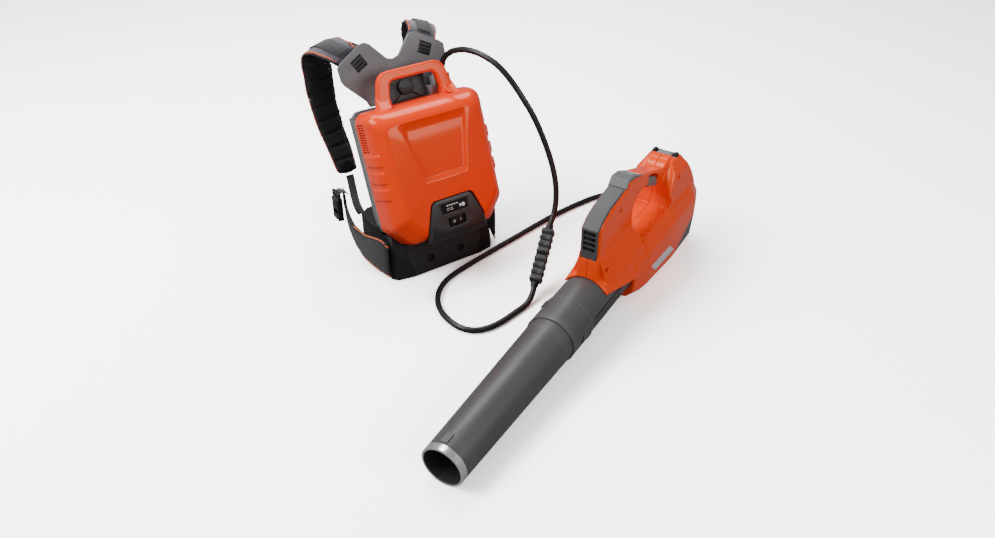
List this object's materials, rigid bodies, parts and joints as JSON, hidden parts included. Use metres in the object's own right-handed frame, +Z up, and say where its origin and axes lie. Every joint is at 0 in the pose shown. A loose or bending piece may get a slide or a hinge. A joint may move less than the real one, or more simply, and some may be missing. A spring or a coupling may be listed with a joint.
{
  "type": "backpack leaf blower",
  "caption": "Backpack battery on a padded harness with a carry handle and control panel, cabled through an inline plug to a hand-held axial leaf blower with a round nozzle.",
  "frame": {"origin": "on the underside of the backpack's base, in its middle plane, where it rests on the floor", "axes": "+Z up; -Y out of the pack's control panel, away from the wearer; +X towards the cable outlet side"},
  "size_m": [0.8986, 0.8664, 0.4514],
  "materials": {
    "base_plastic": "fine-grained charcoal polypropylene",
    "dark_screw": "black zinc screws",
    "frame_grey": "grey moulded nylon, fine grain",
    "steel": "bright zinc-plated steel",
    "orange_shell": "glossy orange moulded cover",
    "cover_grey": "dark grey moulded plastic",
    "cell": "sleeved cylindrical battery cells",
    "insulator": "ivory insulating sheet",
    "circuit_board": "green circuit board",
    "bezel_plastic": "satin dark grey bezel",
    "display": "smoked clear window with plain indicator marks",
    "switch_black": "satin black rocker",
    "button_white": "white push button",
    "black_plastic": "black acetal",
    "cable_rubber": "satin black rubber sheath",
    "pad_fabric": "black padded mesh fabric",
    "webbing": "woven dark webbing",
    "belt_fabric": "charcoal fabric with orange piping",
    "connector_plastic": "ribbed black connector body",
    "orange_housing": "satin-gloss orange moulded housing",
    "grip_rubber": "soft-touch charcoal insert",
    "keypad_plastic": "grey keypad frame",
    "button_black": "black membrane button with a plain mark",
    "trigger_grey": "grey moulded trigger",
    "grille_grey": "grey slotted intake",
    "duct_plastic": "charcoal moulded duct, fine grain",
    "motor_metal": "machined motor can",
    "ring_metal": "silver ring"
  },
  "bodies": {
    "backpack": {"base_body": "base_plastic", "base_plate": "base_plastic", "base_screws": "dark_screw", "rear_frame": "frame_grey", "frame_screws": "steel", "yoke_plate": "frame_grey", "shell_cover": "orange_shell", "rear_cover": "cover_grey", "cell_pack": "cell", "cell_end_plates": "insulator", "control_board": "circuit_board", "control_bezel": "bezel_plastic", "display_window": "display", "lock_plate": "black_plastic", "cable_outlet": "cover_grey", "pack_gland": "cable_rubber", "shoulder_pad_left": "pad_fabric", "shoulder_pad_right": "pad_fabric", "shoulder_webbing": "webbing", "lower_webbing": "webbing", "back_pad": "pad_fabric", "lumbar_pad": "pad_fabric", "hip_belt_left": "belt_fabric", "hip_belt_right": "belt_fabric", "buckle_socket": "black_plastic", "buckle_tongue": "black_plastic", "pack_cable": "cable_rubber", "connector_socket": "connector_plastic", "connector_plug": "connector_plastic", "blower_cable": "cable_rubber", "swivel_gland": "cable_rubber"},
    "rocker": {"rocker_switch": "switch_black"},
    "check": {"check_button": "button_white"},
    "knob": {"lock_knob": "black_plastic"},
    "ladder_left": {"ladder_lock_left": "black_plastic"},
    "ladder_right": {"ladder_lock_right": "black_plastic"},
    "blower": {"plug_adapter": "cover_grey", "housing_left": "orange_housing", "housing_right": "orange_housing", "housing_screws": "dark_screw", "grip_insert": "grip_rubber", "keypad_panel": "keypad_plastic", "trigger_pin": "steel", "controller_board": "circuit_board", "intake_grilles": "grille_grey", "blower_duct": "duct_plastic", "stator": "duct_plastic", "motor_housing": "motor_metal", "motor_bearings": "steel"},
    "latch_l": {"latch_left": "black_plastic"},
    "latch_r": {"latch_right": "black_plastic"},
    "power": {"power_button": "button_black"},
    "boost": {"boost_button": "button_black"},
    "trigger": {"trigger": "trigger_grey", "trigger_spring": "steel"},
    "rotor": {"rotor_shaft": "steel", "fan_impeller": "black_plastic"},
    "nozzle": {"nozzle_tube": "duct_plastic", "nozzle_ring": "ring_metal"}
  },
  "joints": [
    {"name": "rocker_tilt", "type": "hinge", "parent": "backpack", "child": "rocker", "pos_m": [0, -0.13973, 0.13465], "axis": [0, -0.3746, -0.9272], "range_deg": [0, 16]},
    {"name": "check_press", "type": "slide", "parent": "backpack", "child": "check", "axis": [0, 0.9272, -0.3746], "range_m": [0, 0.0008], "stiffness_N_per_m": 600},
    {"name": "knob_turn", "type": "hinge", "parent": "backpack", "child": "knob", "pos_m": [0, 0.04617, 0.35452], "axis": [0, -0.9272, 0.3746], "range_deg": [0, 90]},
    {"name": "ladder_tilt_left", "type": "hinge", "parent": "backpack", "child": "ladder_left", "pos_m": [-0.075, 0.09518, 0.40375], "axis": [0.8829, 0.1759, 0.4353], "range_deg": [0, 22]},
    {"name": "ladder_tilt_right", "type": "hinge", "parent": "backpack", "child": "ladder_right", "pos_m": [0.075, 0.09518, 0.40375], "axis": [0.8829, -0.1759, -0.4353], "range_deg": [0, 22]},
    {"name": "blower_swing", "type": "hinge", "parent": "backpack", "child": "blower", "pos_m": [0.4731, -0.2641, 0.1758], "axis": [0, 0, 1], "range_deg": [-8, 35]},
    {"name": "latch_press_left", "type": "slide", "parent": "blower", "child": "latch_l", "axis": [0.4019, -0.9157, 0], "range_m": [0, 0.002], "stiffness_N_per_m": 900},
    {"name": "latch_press_right", "type": "slide", "parent": "blower", "child": "latch_r", "axis": [-0.4019, 0.9157, 0], "range_m": [0, 0.002], "stiffness_N_per_m": 900},
    {"name": "power_press", "type": "slide", "parent": "blower", "child": "power", "axis": [-0.3534, -0.1551, -0.9225], "range_m": [0, 0.001], "stiffness_N_per_m": 800},
    {"name": "boost_press", "type": "slide", "parent": "blower", "child": "boost", "axis": [-0.3534, -0.1551, -0.9225], "range_m": [0, 0.001], "stiffness_N_per_m": 800},
    {"name": "trigger_squeeze", "type": "hinge", "parent": "blower", "child": "trigger", "pos_m": [0.28829, -0.34528, 0.23728], "axis": [0.4019, -0.9157, 0], "range_deg": [0, 6], "stiffness_Nm_per_rad": 3, "springref_deg": -2.86},
    {"name": "fan_spin", "type": "hinge", "parent": "blower", "child": "rotor", "pos_m": [0.2893, -0.34484, 0.07908], "axis": [0.9141, 0.4013, 0.0576], "continuous": true},
    {"name": "nozzle_turn", "type": "hinge", "parent": "blower", "child": "nozzle", "pos_m": [-0.01511, -0.47847, 0.05991], "axis": [0.9141, 0.4013, 0.0576], "range_deg": [0, 24]}
  ]
}
